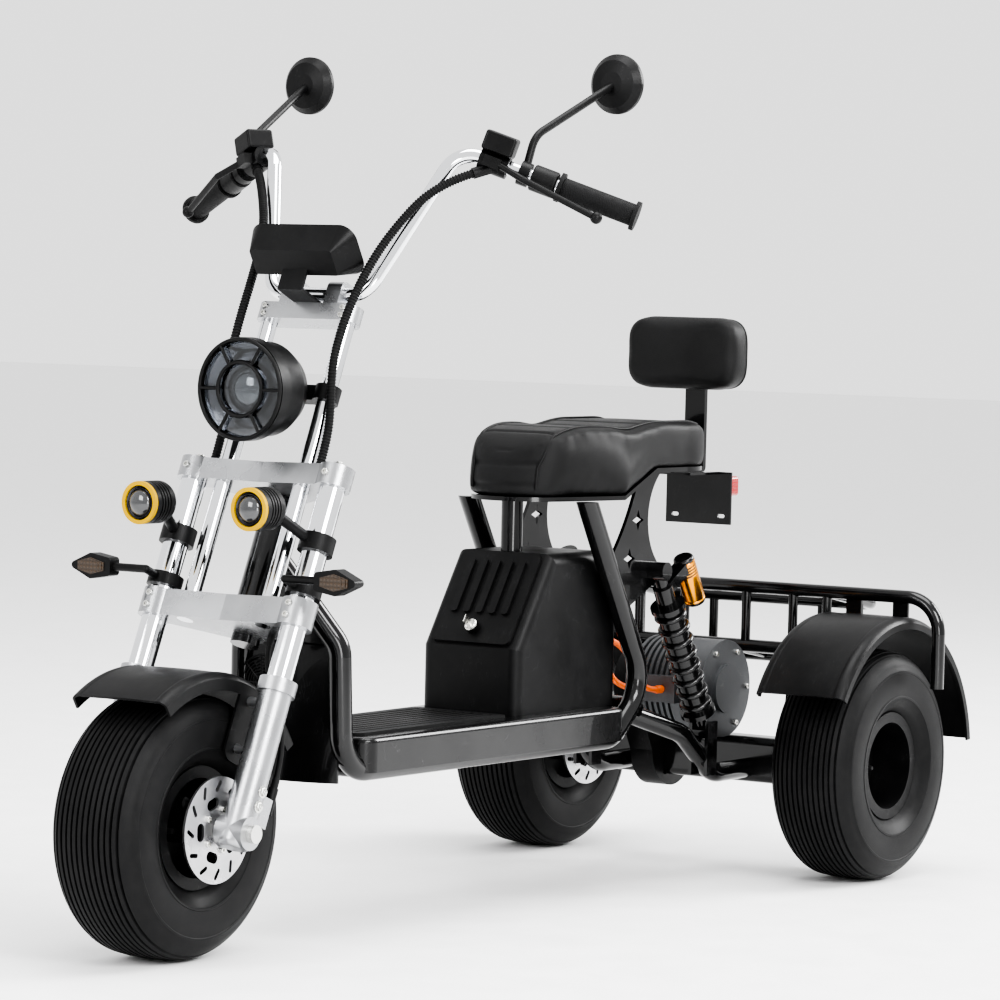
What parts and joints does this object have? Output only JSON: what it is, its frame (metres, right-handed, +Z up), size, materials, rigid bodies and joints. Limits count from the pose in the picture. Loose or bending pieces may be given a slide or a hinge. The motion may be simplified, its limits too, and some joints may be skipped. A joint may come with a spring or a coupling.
{
  "type": "electric trike scooter",
  "caption": "Electric trike with a raked telescopic fork, high handlebar, flat foot deck, battery box under a saddle with backrest, motor axle and a rear tube rack.",
  "frame": {"origin": "on the ground under the middle of the length and width", "axes": "+X forward, +Y to the rider's left, +Z up"},
  "size_m": [1.8866, 0.876, 1.3141],
  "materials": {
    "tyre_rubber": "matte",
    "frame_black": "gloss",
    "silver_paint": "satin",
    "chrome": "polished",
    "disc_steel": "brushed",
    "black_plastic": "satin",
    "gloss_plastic": "gloss",
    "leather": "grained",
    "rubber": "matte",
    "lamp_glass": "clear",
    "motor_metal": "cast",
    "orange_cable": "satin",
    "red_lens": "gloss",
    "yellow_ring": "satin"
  },
  "bodies": {
    "chassis": {"axle_beam": "frame_black", "backrest_pad": "leather", "backrest_post": "frame_black", "battery": "black_plastic", "battery_box": "black_plastic", "deck": "gloss_plastic", "deck_mat": "rubber", "frame": "frame_black", "gearbox": "frame_black", "leg_shield": "black_plastic", "motor": "motor_metal", "motor_cables": "orange_cable", "plate_bracket": "frame_black", "rear_calipers": "disc_steel", "rear_mudguard_left": "black_plastic", "rear_mudguard_right": "black_plastic", "rear_rack": "frame_black", "seat_cushion": "leather", "seat_pan": "frame_black", "seat_plates": "frame_black", "seat_post": "frame_black", "shock_left": "frame_black", "shock_right": "frame_black", "swing_arm": "frame_black", "tail_lamp": "red_lens"},
    "steering": {"front_axle": "chrome", "fork_sliders": "silver_paint", "fork_stanchions": "chrome", "fork_risers": "chrome", "lower_yoke": "silver_paint", "mid_yoke": "silver_paint", "top_yoke": "silver_paint", "steering_stem": "frame_black", "handlebar": "chrome", "grips": "rubber", "brake_controls": "frame_black", "mirrors": "frame_black", "display": "frame_black", "headlight": "frame_black", "headlight_lens": "lamp_glass", "headlight_guard": "frame_black", "lamp_bracket": "frame_black", "fog_lamps": "frame_black", "turn_signals": "frame_black", "front_mudguard": "black_plastic", "front_caliper": "disc_steel", "cable_conduits": "rubber", "front_brake_hose": "rubber", "fog_lamp_rings": "yellow_ring"},
    "front_wheel": {"front_tyre": "tyre_rubber", "front_rim": "frame_black", "front_brake_disc": "disc_steel"},
    "rear_left_wheel": {"rear_left_tyre": "tyre_rubber", "rear_left_rim": "frame_black", "rear_left_brake_disc": "disc_steel"},
    "rear_right_wheel": {"rear_right_tyre": "tyre_rubber", "rear_right_rim": "frame_black", "rear_right_brake_disc": "disc_steel"},
    "battery_lid": {"battery_lid": "black_plastic"}
  },
  "joints": [
    {"name": "steering_turn", "type": "hinge", "parent": "chassis", "child": "steering", "pos_m": [0.51877, 0, 0.56286], "axis": [-0.4019, 0, 0.9157], "range_deg": [-38, 38]},
    {"name": "front_wheel_spin", "type": "hinge", "parent": "steering", "child": "front_wheel", "pos_m": [0.74775, 0, 0.1905], "axis": [0, 1, 0], "continuous": true},
    {"name": "rear_left_spin", "type": "hinge", "parent": "chassis", "child": "rear_left_wheel", "pos_m": [-0.70425, 0.312, 0.1905], "axis": [0, 1, 0], "continuous": true},
    {"name": "rear_right_spin", "type": "hinge", "parent": "chassis", "child": "rear_right_wheel", "pos_m": [-0.70425, -0.312, 0.1905], "axis": [0, 1, 0], "continuous": true},
    {"name": "battery_lid_hinge", "type": "hinge", "parent": "chassis", "child": "battery_lid", "pos_m": [-0.09998, 0, 0.5427], "axis": [0, -1, 0], "range_deg": [0, 65]}
  ]
}
